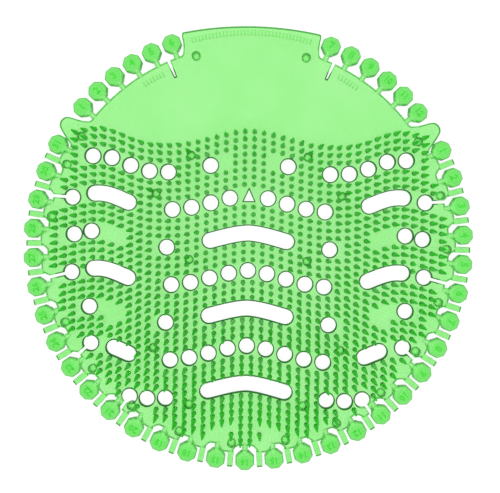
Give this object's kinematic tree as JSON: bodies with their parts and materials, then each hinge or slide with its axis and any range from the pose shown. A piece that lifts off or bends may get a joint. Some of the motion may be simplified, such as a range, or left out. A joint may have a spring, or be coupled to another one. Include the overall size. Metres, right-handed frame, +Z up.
{
  "type": "urinal deodorizer screen",
  "caption": "Flat round soft plastic mat with a field of bristles, round and curved drain holes and a ring of pull-off tabs, for the bowl of a urinal.",
  "frame": {"origin": "middle of the box round the mat, at the level its feet rest on", "axes": "+Z up, away from the surface it lies on; +Y towards the plain flap; mirror plane at X = 0"},
  "size_m": [0.185, 0.1828, 0.0123],
  "materials": {
    "green_soft_plastic": "translucent, satin"
  },
  "bodies": {
    "root": {"screen": "green_soft_plastic"}
  },
  "joints": []
}
